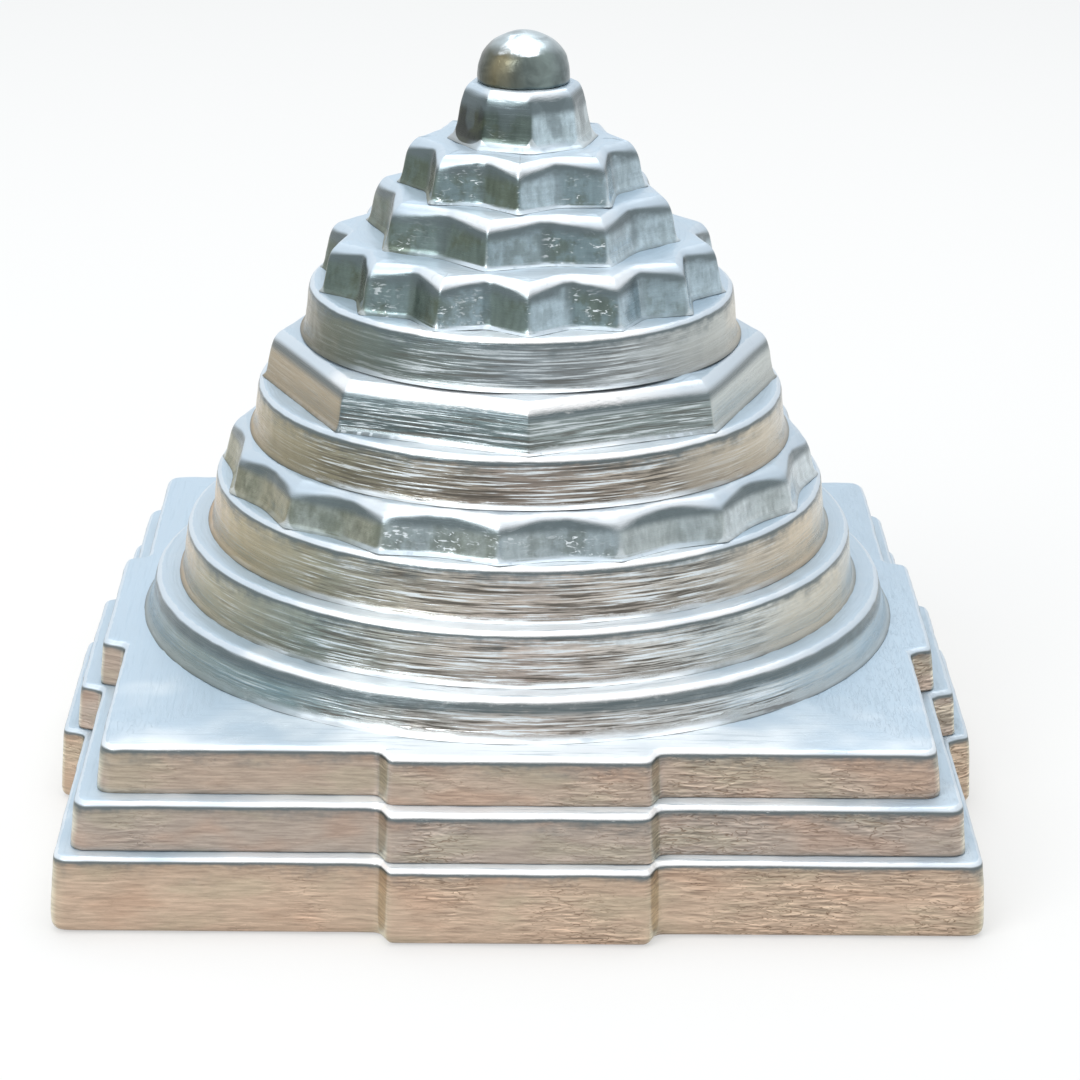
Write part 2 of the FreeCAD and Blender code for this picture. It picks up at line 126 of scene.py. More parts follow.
def colour(name, description, hex_colour):
    """A colour property, with its default given as an sRGB hex value."""
    return FloatVectorProperty(name=name, description=description, default=linear(hex_colour),
                               min=0.0, max=1.0, size=4, subtype="COLOR")


class YantraSquares(bpy.types.PropertyGroup):
    """Sizes of the three gated square tiers."""

    gate_depth: length("Gate depth", "How far a gate stands forward of its side", 2.0 * MM)
    gate_half_width: length("Gate half width", "Half the width of a gate's face", 10.6 * MM)
    gate_splay: length("Gate splay", "How much further a gate's flanks spread at their root", 0.8 * MM)
    lip_inset: length("Lip inset", "How far the lip stands back from the foot", 0.4 * MM)
    lip_round: length("Lip rounding", "Radius worn on the lips", 0.6 * MM)
    corner_round: length("Corner rounding", "Radius of the upright corners", 1.4 * MM)
    gate_round: length("Gate rounding", "Radius of the gates' upright edges", 0.55 * MM)
    foot_round: length("Foot rounding", "Radius of the edge that stands on the ground", 0.8 * MM)


class YantraRounds(bpy.types.PropertyGroup):
    """Sizes of the round tiers."""

    lower_inset: length("Lower girdle inset", "How far the lip of the widest girdle stands back", 0.85 * MM)
    lip_inset: length("Lip inset", "How far the other lips stand back from their foot", 0.45 * MM)
    lip_round: length("Lip rounding", "Radius worn on the lips", 0.6 * MM)
    cove: length("Foot cove", "Reach of the cove at the foot", 0.4 * MM)
    cove_rise: length("Cove rise", "Height of the cove at the foot", 0.9 * MM)


class YantraPoints(bpy.types.PropertyGroup):
    """Sizes of the lotus and star tiers and of the crown block."""

    petals: IntProperty(name="Petals", description="Petals of the larger lotus", default=16, min=3)
    corners: IntProperty(name="Corners", description="Corners of the smaller lotus", default=8, min=3)
    outer_points: IntProperty(name="Outer points", description="Points of the large star", default=14, min=3)
    inner_points: IntProperty(name="Inner points", description="Points of the small stars", default=8, min=3)
    petal_tip: length("Petal tip", "Radius of the larger lotus at its tips", 26.0 * MM)
    petal_valley: length("Petal valley", "Radius of the larger lotus between its tips", 24.7 * MM)
    petal_turn: angle("Petal turn", "Turn of the larger lotus from the front", -4.0)
    corner_reach: length("Corner reach", "Radius of the smaller lotus at its corners", 22.2 * MM)
    corner_turn: angle("Corner turn", "Turn of the smaller lotus from the front", 1.5)
    outer_tip: length("Outer star tip", "Radius of the large star at its tips", 17.7 * MM)
    outer_valley: length("Outer star valley", "Radius of the large star between its tips", 15.5 * MM)
    outer_turn: angle("Outer star turn", "Turn of the large star from the front", 1.8)
    lower_tip: length("Lower star tip", "Radius of the lower small star at its tips", 13.7 * MM)
    lower_valley: length("Lower star valley", "Radius of the lower small star between its tips", 11.6 * MM)
    lower_turn: angle("Lower star turn", "Turn of the lower small star from the front", -13.0)
    upper_tip: length("Upper star tip", "Radius of the upper small star at its tips", 10.65 * MM)
    upper_valley: length("Upper star valley", "Radius of the upper small star between its tips", 8.5 * MM)
    upper_turn: angle("Upper star turn", "Turn of the upper small star from the front", -2.0)
    crown_reach: length("Crown reach", "Radius of the crown block at its corners", 5.95 * MM)
    crown_turn: angle("Crown turn", "Turn of the crown block from the front", 7.0)
    crown_flare: length("Crown flare", "Reach of the flared foot of the crown block", 0.65 * MM)
    draft: length("Draft", "How far a point's lip stands back from its foot", 0.75 * MM)
    wear: length("Tip wear", "How much lower polishing has left the lip at a tip", 0.5 * MM)
    tip_flat: length("Tip flat", "Width of a point's blunted tip", 0.8 * MM)
    corner_flat: length("Corner flat", "Width of a corner's blunted edge", 0.6 * MM)
    lip_round: length("Lip rounding", "Radius worn on the lips", 0.8 * MM)
    cove: length("Foot cove", "Reach of the cove at the foot", 0.35 * MM)
    cove_rise: length("Cove rise", "Height of the cove at the foot", 0.85 * MM)


class YantraFinish(bpy.types.PropertyGroup):
    """Colours of the metal, some of them painted highlight, reflection and shade, and the waver that the
    casting left.
    """

    waver: length("Waver", "Height of the casting's slight waver", 0.1 * MM)
    satin: FloatProperty(name="Satin", description="Share of soft, unmirrored sheen on the treads",
                         default=0.55, min=0.0, max=1.0, subtype="FACTOR")
    # Partly painted reflection: satin silver tinted cool blue for the sky that the treads mirror
    tread: colour("Tread", "Satin silver of the treads", "B8CBDA")
    # Painted highlight: the whitest tread colour, at the front
    painted_tread_highlight: colour("Bright tread", "Rubbed silver at the front of the treads", "F2F8FC")
    tread_mark: colour("Tread mark", "Fine marks drawn along the treads", "8FA3B0")
    # Painted shade: the dark line under the lips, and in the valleys of the points
    painted_shade_line: colour("Lip shade", "Darker metal just under the lips", "626E72")
    blush: colour("Blush", "Pinkish tarnish of the square risers", "B8917A")
    verdigris: colour("Verdigris", "Olive tarnish of the square risers", "A8A68F")
    # Painted shade: the dark in a wrinkle's fold
    wrinkle: colour("Wrinkle", "Dark fold of a wrinkle in the cast skin", "6B5644")
    olive: colour("Olive", "Olive tarnish that clouds the points", "5A6250")
    # Partly wear and partly painted highlight: the bright of scratches, and of the highlights on the tips
    # and the bindu
    scratch_and_highlight: colour("Scratch", "Bright metal where a tool has rubbed it", "E6EFF4")
    shadow_line: colour("Shadow line", "Dark of a drawn mark", "57534D")
    # Painted shade: the dark in the angle at a foot
    painted_foot_shade: colour("Grime", "Tarnish in the angle at a foot", "3E4442")
    steel: colour("Steel", "Plain turned steel", "8E9296")


def deselect():
    """Deselect every object, since an operator acts on all that is selected."""
    for thing in bpy.context.selected_objects:
        thing.select_set(False)


def start_editing(piece):
    """Open one piece in edit mode, with nothing else selected."""
    deselect()
    piece.select_set(True)
    bpy.context.view_layer.objects.active = piece
    bpy.ops.object.mode_set(mode="EDIT")


def named_primitive(name):
    """Name the primitive just added, fix its place in its mesh, and open it for editing."""
    piece = bpy.context.object
    piece.name = name
    piece.data.name = name
    bpy.ops.object.transform_apply(location=True, rotation=True, scale=True)
    start_editing(piece)
    return piece


def pick(kind, test):
    """Select the vertices, edges or faces of the edited mesh that pass a test."""
    tools = bpy.context.tool_settings
    tools.mesh_select_mode = (kind == "VERT", kind == "EDGE", kind == "FACE")
    bpy.ops.mesh.select_all(action="DESELECT")
    mesh = bpy.context.edit_object.data
    edited = bmesh.from_edit_mesh(mesh)
    edited.normal_update()
    elements = {"VERT": edited.verts, "EDGE": edited.edges, "FACE": edited.faces}[kind]
    for element in elements:
        if test(element):
            element.select_set(True)
    bmesh.update_edit_mesh(mesh, loop_triangles=False, destructive=False)


def from_axis(vertex):
    """Distance of a vertex from the axis of the yantra."""
    return math.hypot(vertex.co.x, vertex.co.y)


def at_height(height):
    """Test for vertices at a height."""
    return lambda vertex: abs(vertex.co.z - height) < CLOSE


def rim_at(height):
    """Test for the edges where a level face at a height meets the sides."""
    def test(edge):
        if any(abs(v.co.z - height) > CLOSE for v in edge.verts) or len(edge.link_faces) != 2:
            return False
        steep = sorted(abs(face.normal.z) for face in edge.link_faces)
        return steep[0] < 0.9 < steep[1]
    return test


def upright_at(condition):
    """Test for the upright edges whose foot passes a condition on x and y."""
    def test(edge):
        first, last = edge.verts[0].co, edge.verts[1].co
        flat = math.hypot(first.x - last.x, first.y - last.y)
        low = first if first.z < last.z else last
        return abs(first.z - last.z) > 2 * flat and condition(low.x, low.y)
    return test


def wide_face_at(height):
    """Test for a wide level face at a height."""
    def test(face):
        return len(face.verts) > 8 and abs(face.calc_center_median().z - height) < CLOSE
    return test


def shrink(ratio, height):
    """Scale the selection towards the axis of the yantra."""
    bpy.ops.transform.resize(value=(ratio, ratio, 1.0), center_override=(0.0, 0.0, height))


def slice_level(height):
    """Cut the whole mesh through at a height."""
    bpy.ops.mesh.select_all(action="SELECT")
    bpy.ops.mesh.bisect(plane_co=(0.0, 0.0, height), plane_no=(0.0, 0.0, 1.0), threshold=EXACT)


def slice_upright(axis, place):
    """Cut the whole mesh through with an upright plane across X (0) or Y (1)."""
    normal = [0.0, 0.0, 0.0]
    normal[axis] = 1.0
    bpy.ops.mesh.select_all(action="SELECT")
    bpy.ops.mesh.bisect(plane_co=[place * n for n in normal], plane_no=normal, threshold=EXACT)


def draw_foot_cove(foot, reach, rise):
    """Spread the lowest rows of a riser into a cove, and keep its edge crisp."""
    for share in (0.18, 0.45, 1.0):
        slice_level(foot + rise * share)
    for share, spread in ((0.0, 1.0), (0.18, 0.5), (0.45, 0.16)):
        pick("VERT", at_height(foot + rise * share))
        mesh = bmesh.from_edit_mesh(bpy.context.edit_object.data)
        far = max(from_axis(v) for v in mesh.verts if v.select)
        shrink(1 + reach * spread / far, foot)
    pick("EDGE", rim_at(foot))
    bpy.ops.transform.edge_crease(value=0.9)


def ring_the_face(height, ratios):
    """Draw rings on the wide face at a height, and close the last with an even grid."""
    pick("FACE", wide_face_at(height))
    for ratio in ratios:
        bpy.ops.mesh.extrude_region_move(TRANSFORM_OT_translate={"value": (0, 0, 0)})
        shrink(ratio, height)
    bpy.ops.mesh.delete(type="ONLY_FACE")
    pick("EDGE", lambda edge: edge.is_boundary)
    mesh = bmesh.from_edit_mesh(bpy.context.edit_object.data)
    around = sum(1 for edge in mesh.edges if edge.select)
    bpy.ops.mesh.fill_grid(span=around // 4, use_interp_simple=True)


def wear_tips(lip, depth, near, far):
    """Lower the lip towards its tips, where a polishing wheel takes most."""
    for share in (0.25, 0.6, 0.85):
        least = near + (far - near) * share
        pick("VERT", lambda vertex: vertex.co.z > lip - 1.2 * MM and from_axis(vertex) > least)
        bpy.ops.transform.translate(value=(0, 0, -depth / 3))


def keep_off_ground(piece, foot):
    """Gather all but the lowest rows, which is where the waver may act."""
    start_editing(piece)
    bpy.ops.object.vertex_group_add()
    piece.vertex_groups.active.name = "worked"
    pick("VERT", lambda vertex: vertex.co.z > foot + STILL_FOOT)
    bpy.ops.object.vertex_group_assign()
    bpy.ops.object.mode_set(mode="OBJECT")


def finish_piece(piece, node, finish, levels=2):
    """Smooth a tier, give it the waver of a casting, and seat it on its body."""
    bpy.ops.mesh.select_all(action="SELECT")
    bpy.ops.mesh.remove_doubles(threshold=2 * EXACT)
    bpy.ops.mesh.normals_make_consistent(inside=False)
    bpy.ops.object.mode_set(mode="OBJECT")
    soften = piece.modifiers.new("soften", "SUBSURF")
    soften.levels = levels
    soften.render_levels = levels
    bpy.ops.object.modifier_apply(modifier=soften.name)
    keep_off_ground(piece, foot_of(node))
    for name, wave, share in (("broad", 4.5 * MM, 0.6), ("fine", 1.4 * MM, 0.4)):
        texture = bpy.data.textures.new(node + "_" + name, "CLOUDS")
        texture.noise_scale = wave
        texture.noise_depth = 1
        waver = piece.modifiers.new(name, "DISPLACE")
        waver.texture = texture
        waver.texture_coords = "LOCAL"
        waver.mid_level = 0.5
        waver.strength = finish.waver * share * 2
        waver.vertex_group = "worked"
        bpy.ops.object.modifier_apply(modifier=waver.name)
    bpy.ops.object.shade_smooth()
    piece.vertex_groups.clear()
    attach(piece, "root")
    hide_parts(node)


def mark_rise(piece, node):
    """Store on each vertex how far up its riser it lies, from 0 at the foot to 1 at the lip."""
    foot, lip = foot_of(node), lip_of(node)
    rise = piece.data.attributes.new("rise", "FLOAT", "POINT")
    for vertex in piece.data.vertices:
        rise.data[vertex.index].value = (vertex.co.z - foot) / (lip - foot)


def mark_tips(piece, node, tip, valley, draft):
    """Store on each vertex how near it lies to a tip, from 0 in a valley to 1 on the tip."""
    foot, lip = foot_of(node), lip_of(node)
    tips = piece.data.attributes.new("tips", "FLOAT", "POINT")
    for vertex in piece.data.vertices:
        lean = draft * (vertex.co.z - foot) / (lip - foot)
        out = from_axis(vertex) / (tip - lean) * tip
        tips.data[vertex.index].value = (out - valley) / (tip - valley)


def add_node(material, kind, inputs=None, **settings):
    """Add a shader node with its settings; an input is a value, or a node or socket to link."""
    tree = material.node_tree
    node = tree.nodes.new("ShaderNode" + kind)
    for name, value in settings.items():
        setattr(node, name, value)
    for socket, value in (inputs or {}).items():
        if isinstance(value, bpy.types.Node):
            value = next(output for output in value.outputs if output.enabled)
        if isinstance(value, bpy.types.NodeSocket):
            tree.links.new(value, node.inputs[socket])
        else:
            node.inputs[socket].default_value = value
    return node


def new_material(name):
    """Empty node material."""
    material = bpy.data.materials.new(name)
    material.use_nodes = True
    material.node_tree.nodes.clear()
    return material


class Surface:
    """What every finish of the metal reads: where a point lies and how it faces."""

    def __init__(self, material, square=False):
        self.material = material
        self.add = add = partial(add_node, material)
        self.place = add("TexCoord").outputs["Object"]
        self.x, self.y, self.z = add("SeparateXYZ", {0: self.place}).outputs
        facing = add("SeparateXYZ", {0: add("NewGeometry").outputs["Normal"]}).outputs
        self.up = facing[2]
        # Turn of the point and of its normal round the axis, nought at the front
        self.bearing = self.turn_of(self.x, self.y)
        self.azimuth = self.turn_of(facing[0], facing[1])
        # How far out a point lies, in lines that follow the tier's own outline
        if square:
            self.out = add("Math", {0: self.apart(self.x, 0.0), 1: self.apart(self.y, 0.0)},
                           operation="MAXIMUM")
        else:
            level = add("VectorMath", {0: self.place, 1: (1.0, 1.0, 0.0)}, operation="MULTIPLY")
            self.out = add("VectorMath", {0: level}, operation="LENGTH").outputs["Value"]
        self.rise = add("Attribute", attribute_name="rise").outputs["Fac"]
        self.tread = add("MapRange", {0: self.up, 1: 0.32, 2: 0.62}, **SMOOTH)

    def turn_of(self, x, y):
        """Turn of a direction round the axis, from the front."""
        forward = self.add("Math", {0: y, 1: -1.0}, operation="MULTIPLY")
        return self.add("Math", {0: x, 1: forward}, operation="ARCTAN2")

    def apart(self, source, place):
        """How far a value lies from a place, on either side."""
        offset = self.add("Math", {0: source, 1: place}, operation="SUBTRACT")
        return self.add("Math", {0: offset}, operation="ABSOLUTE")

    def tint(self, body, shade, source, low, high, most, where=1.0):
        """Blend a shade in as a source goes from low to high, up to its most and where it belongs."""
        share = self.add("MapRange", {0: source, 1: low, 2: high, 4: most}, **SMOOTH)
        share = self.add("Math", {0: share, 1: where}, operation="MULTIPLY")
        return self.add("Mix", {0: share, 6: body, 7: shade}, **COLOURS)

    def drawn(self, along, across):
        """Coordinates for marks drawn round a riser or along a tread, from their length and width."""
        height = self.add("Math", {0: self.out, 1: self.tread, 2: self.z}, operation="MULTIPLY_ADD")
        spread = self.add("CombineXYZ", {0: self.x, 1: self.y, 2: height})
        return self.add("VectorMath", {0: spread, 1: (along, along, across)}, operation="DIVIDE")

    def shade(self, shades, wander):
        """Painted reflection over the metal's own tone: a riser's tint by the way it faces, as polished
        metal mirrors something different on each side.

        The shades run from the back by the left to the front, and on by the right.
        """
        drift = self.add("TexNoise", {"Vector": self.place, "Scale": 260.0, "Detail": 2.0})
        drift = self.add("MapRange", {0: drift, 3: -wander / 2, 4: wander / 2})
        turn = self.add("Math", {0: self.azimuth, 1: drift}, operation="ADD")
        turn = self.add("MapRange", {0: turn, 1: -math.pi, 2: math.pi})
        ramp = self.add("ValToRGB", {0: turn})
        stops = ramp.color_ramp.elements
        places = (0.0, 0.25, 0.32, 0.4, 0.5, 0.6, 0.68, 0.75, 1.0)
        shades = shades.split()
        for index, (place, shade) in enumerate(zip(places, shades + shades[:1])):
            stop = stops[index] if index < 2 else stops.new(place)
            stop.position = place
            stop.color = linear(shade)
        return ramp

    def dress_lips(self, finish, riser, relief, roughness, painted_foot_shade=0.5, white=1.0):
        """Join the riser's colour with the treads, the lips with their painted highlight and shade line, and
        the painted shade at the foot.
        """
        add = self.add
        marks = add("TexNoise", {"Vector": self.drawn(7.0 * MM, 0.32 * MM), "Scale": 1.0, "Detail": 3.0,
                                 "Roughness": 0.6, "Distortion": 0.3})
        clouds = add("TexNoise", {"Vector": self.place, "Scale": 160.0, "Detail": 2.0})
        # Crumbs along the lips, about 0.6 mm long, that break the edges of the painted highlight and shade
        # line
        crumbs = add("TexNoise", {"Vector": self.drawn(0.6 * MM, 0.4 * MM), "Scale": 1.0, "Detail": 2.0})
        # Treads: a painted highlight, whitest at the front, cooler towards the sides and the back
        aside = add("Math", {0: self.apart(self.bearing, 0.0), 1: clouds}, operation="ADD")
        front = add("MapRange", {0: aside, 1: 1.45, 2: 0.75}, **SMOOTH)
        bright = add("Math", {0: front, 1: white}, operation="MULTIPLY")
        tread = add("Mix", {0: bright, 6: finish.tread, 7: finish.painted_tread_highlight}, **COLOURS)
        depth = add("MapRange", {0: front, 3: 0.15, 4: 0.5})
        tread = self.tint(tread, finish.tread_mark, marks, 0.53, 0.7, 1.0, depth)

        # The lip: a painted highlight crest with uneven edges, then a painted shade line as it turns down to
        # the riser
        upper = add("MapRange", {0: self.rise, 1: 0.5, 2: 0.7}, **SMOOTH)
        uneven = add("MapRange", {0: crumbs, 3: -0.06, 4: 0.06})
        turned = add("Math", {0: self.up, 1: uneven}, operation="ADD")
        strength = add("MapRange", {0: front, 3: 0.25 * white, 4: white})
        strength = add("Math", {0: strength, 1: upper}, operation="MULTIPLY")
        tread = self.tint(tread, (1.0, 1.0, 1.0, 1.0), turned, 0.965, 0.925, 1.0, strength)
        body = self.tint(riser, finish.painted_shade_line, turned, 0.06, 0.25, 0.9, upper)
        # Painted shade: darker in the angle at the foot
        body = self.tint(body, finish.painted_foot_shade, self.rise, 0.06, 0.0, painted_foot_shade)
        # The tread's edge, with its painted highlight, is crumbled at the front
        ragged = add("MapRange", {0: crumbs, 3: -0.25 * white, 4: 0.25 * white})
        ragged = add("Math", {0: ragged, 1: front, 2: self.up}, operation="MULTIPLY_ADD")
        # A cove takes the tread colour and its painted highlight at the front only; elsewhere it stays as
        # dark as its riser
        rubbed = add("Math", {0: upper, 1: front}, operation="MAXIMUM")
        body = self.tint(body, tread, ragged, 0.32, 0.62, 1.0, rubbed)

        gloss = add("MapRange", {0: marks, 1: 0.3, 2: 0.7, 3: roughness - 0.05, 4: roughness + 0.08})
        gloss = add("Math", {0: self.tread, 1: 0.14, 2: gloss}, operation="MULTIPLY_ADD")
        metal = add("MapRange", {0: self.tread, 3: 1.0, 4: 1.0 - finish.satin})
        height = add("Math", {0: marks, 1: 0.4, 2: relief}, operation="MULTIPLY_ADD")
        bump = add("Bump", {"Height": height, "Strength": 0.5, "Distance": 0.1 * MM})
        shader = add("BsdfPrincipled", {"Base Color": body, "Metallic": metal, "Roughness": gloss,
                                        "Normal": bump})
        add("OutputMaterial", {0: shader})
        return self.material


def rubbed_casting(node, finish, shades):
    """Cast white metal with its skin left on the risers and only rubbed over.

    The eye sees a warm, matt tan that drifts from pink to olive, a fine level grain, and
    patches of thin crooked wrinkles, more of them towards the right. The tan is tinted by
    facing as a painted reflection, and the wrinkles' lit and dark sides and folds are painted.
    """
    surface = Surface(new_material(node + "_rubbed_casting"), square=True)
    add = surface.add
    # Painted reflection: the riser's tint follows its facing
    riser = surface.shade(shades, wander=0.1)
    patches = add("TexNoise", {"Vector": surface.place, "Scale": 110.0, "Detail": 2.0})
    drift = add("TexNoise", {"Vector": surface.drawn(9.0 * MM, 3.0 * MM), "Scale": 1.0, "Detail": 2.0})
    riser = surface.tint(riser, finish.blush, drift, 0.5, 0.68, 0.3)
    riser = surface.tint(riser, finish.verdigris, drift, 0.48, 0.34, 0.28)
    rightward = add("MapRange", {0: surface.x, 1: -30 * MM, 2: 30 * MM, 3: -0.12, 4: 0.14})
    zone = add("Math", {0: patches, 1: rightward}, operation="ADD")
    zone = add("MapRange", {0: zone, 1: 0.42, 2: 0.66, 3: 0.12, 4: 1.0}, **SMOOTH)
    # Level grain about 3 mm long and 0.2 mm apart
    grain = add("TexNoise", {"Vector": surface.drawn(2.6 * MM, 0.2 * MM), "Scale": 1.0, "Detail": 4.0,
                             "Roughness": 0.6, "Distortion": 0.4})
    grain = add("Math", {0: grain, 1: 0.5}, operation="SUBTRACT")
    depth = add("MapRange", {0: zone, 3: 1.0, 4: 2.0})
    tone = add("Math", {0: grain, 1: depth, 2: 1.0}, operation="MULTIPLY_ADD")
    riser = add("VectorMath", {0: riser, "Scale": tone}, operation="SCALE")
    # Wrinkles about 2 mm long: each has a painted lit side and a painted dark one, and some a thin painted
    # shade in the fold
    lines = surface.drawn(2.0 * MM, 0.34 * MM)
    skin = add("TexNoise", {"Vector": lines, "Scale": 1.0, "Detail": 2.0, "Distortion": 0.8})
    above = add("VectorMath", {0: lines, 1: (0.0, 0.0, 0.4)}, operation="ADD")
    skin_above = add("TexNoise", {"Vector": above, "Scale": 1.0, "Detail": 2.0, "Distortion": 0.8})
    painted_wrinkle_light = add("Math", {0: skin_above, 1: skin}, operation="SUBTRACT")
    painted_wrinkle_light = add("MapRange", {0: painted_wrinkle_light, 1: -0.16, 2: 0.16, 3: -0.34, 4: 0.34})
    painted_wrinkle_light = add("Math", {0: painted_wrinkle_light, 1: zone, 2: 1.0}, operation="MULTIPLY_ADD")
    riser = add("VectorMath", {0: riser, "Scale": painted_wrinkle_light}, operation="SCALE")
    # Painted shade in the fold; the same mask also sinks the fold into the bump below
    fold_and_painted_shade = add("MapRange", {0: surface.apart(skin, 0.47), 1: 0.03, 2: 0.004, 4: 0.7}, **SMOOTH)
    fold_and_painted_shade = add("Math", {0: fold_and_painted_shade, 1: zone}, operation="MULTIPLY")
    riser = add("Mix", {0: fold_and_painted_shade, 6: riser, 7: finish.wrinkle}, **COLOURS)
    # A soft shade hangs under the lip
    fall = add("MapRange", {0: surface.rise, 1: 0.68, 2: 0.92, 3: 1.03, 4: 0.86})
    riser = add("VectorMath", {0: riser, "Scale": fall}, operation="SCALE")
    relief = add("Math", {0: fold_and_painted_shade, 1: -0.8}, operation="MULTIPLY")
    return surface.dress_lips(finish, riser, relief, 0.34, painted_foot_shade=0.45)


def turned_casting(node, finish, shades, marks=1.0):
    """Cast white metal turned on a lathe and buffed.

    The eye sees long fine marks round the riser, bright and dark at the front and
    smoother and paler towards the sides; the marks are the metal's own, their fall-off
    by facing and the riser's tint by facing are painted reflection.
    """
    surface = Surface(new_material(node + "_turned_casting"))
    add = surface.add
    # Painted reflection: the riser's tint follows its facing
    riser = surface.shade(shades, wander=0.2)
    # Darker low down, where the riser mirrors the tread in front of it
    fall = add("MapRange", {0: surface.rise, 1: 0.1, 2: 0.75, 3: 0.8, 4: 1.08})
    riser = add("VectorMath", {0: riser, "Scale": fall}, operation="SCALE")
    # Marks about 6 mm long and 0.2 mm apart
    lines = surface.drawn(6.0 * MM, 0.17 * MM)
    drawn = add("TexNoise", {"Vector": lines, "Scale": 1.0, "Detail": 4.0, "Roughness": 0.62,
                             "Distortion": 0.25})
    broad = add("TexNoise", {"Vector": lines, "Scale": 0.3, "Detail": 2.0})
    patches = add("TexNoise", {"Vector": surface.place, "Scale": 130.0, "Detail": 2.0})
    # Painted reflection: the marks' contrast is strongest where the riser faces the front and fades towards
    # the sides
    aside = add("Math", {0: surface.apart(surface.azimuth, 0.0), 1: patches}, operation="ADD")
    zone = add("MapRange", {0: aside, 1: 0.9, 2: 1.5, 3: marks, 4: 0.12 * marks}, **SMOOTH)
    tone = add("MapRange", {0: broad, 1: 0.35, 2: 0.65, 3: -0.3, 4: 0.3})
    tone = add("Math", {0: tone, 1: zone, 2: 1.0}, operation="MULTIPLY_ADD")
    riser = add("VectorMath", {0: riser, "Scale": tone}, operation="SCALE")
    riser = surface.tint(riser, finish.shadow_line, drawn, 0.49, 0.4, 0.9, zone)
    riser = surface.tint(riser, finish.scratch_and_highlight, drawn, 0.53, 0.6, 0.9, zone)
    return surface.dress_lips(finish, riser, drawn, 0.22)


def chased_casting(name, finish, shades, marks=1.0, olive=0.5):
    """Cast white metal filed and chased by hand.

    The eye sees each facet in a tone of its own, a painted reflection by its facing,
    clouded with olive tarnish, with bright tool marks painted as glints on those that face
    the front, a painted highlight line on the tips and a painted shade line in the valleys.
    """
    surface = Surface(new_material(name))
    add = surface.add
    # Painted reflection: the riser's tint follows its facing
    riser = surface.shade(shades, wander=0.12)
    # Clouds about 1 mm wide, and faint upright bands left by the file
    clouds = add("TexNoise", {"Vector": surface.place, "Scale": 850.0, "Detail": 4.0, "Roughness": 0.65})
    patches = add("TexNoise", {"Vector": surface.place, "Scale": 280.0, "Detail": 2.0})
    upright = add("VectorMath", {0: surface.place, 1: (0.45 * MM, 0.45 * MM, 3.5 * MM)}, operation="DIVIDE")
    bands = add("TexNoise", {"Vector": upright, "Scale": 1.0, "Detail": 2.0, "Distortion": 0.3})
    # Olive tarnish clouds, stronger on facets that face the front and the left than on those facing right;
    # that bias by facing is a painted reflection
    left = add("MapRange", {0: surface.azimuth, 1: 0.1, 2: 0.5, 3: 1.0, 4: 0.3})
    tarnish = add("Math", {0: clouds, 1: patches}, operation="ADD")
    riser = surface.tint(riser, finish.olive, tarnish, 0.92, 1.16, olive, left)
    tone = add("Math", {0: clouds, 1: bands}, operation="ADD")
    tone = add("MapRange", {0: tone, 1: 0.7, 2: 1.3, 3: 1.18, 4: 0.82})
    riser = add("VectorMath", {0: riser, "Scale": tone}, operation="SCALE")
    # Tool marks: level scratches about 1 mm long, which are wear; their brightness only on facets that face
    # the front is a painted highlight
    level = add("VectorMath", {0: surface.place, 1: (0.8 * MM, 0.8 * MM, 0.3 * MM)}, operation="DIVIDE")
    crooked = add("TexNoise", {"Vector": level, "Scale": 1.0, "Detail": 3.0, "Distortion": 1.3})
    ahead = surface.apart(surface.azimuth, -0.1)
    forward = add("MapRange", {0: ahead, 1: 0.45, 2: 0.2, 4: marks}, **SMOOTH)
    gathered = add("MapRange", {0: patches, 1: 0.4, 2: 0.6, 3: 0.15, 4: 1.0}, **SMOOTH)
    gathered = add("Math", {0: forward, 1: gathered}, operation="MULTIPLY")
    riser = surface.tint(riser, finish.scratch_and_highlight, crooked, 0.58, 0.67, 1.0, gathered)
    # Painted highlight: a light line on the tips; painted shade: a dark line in the valleys
    tips = add("Attribute", attribute_name="tips").outputs["Fac"]
    riser = surface.tint(riser, finish.scratch_and_highlight, tips, 0.9, 0.97, 0.45)
    riser = surface.tint(riser, finish.painted_shade_line, tips, 0.12, 0.02, 0.5)
    relief = add("Math", {0: clouds, 1: 0.3}, operation="MULTIPLY")
    return surface.dress_lips(finish, riser, relief, 0.24, painted_foot_shade=0.35, white=0.45)


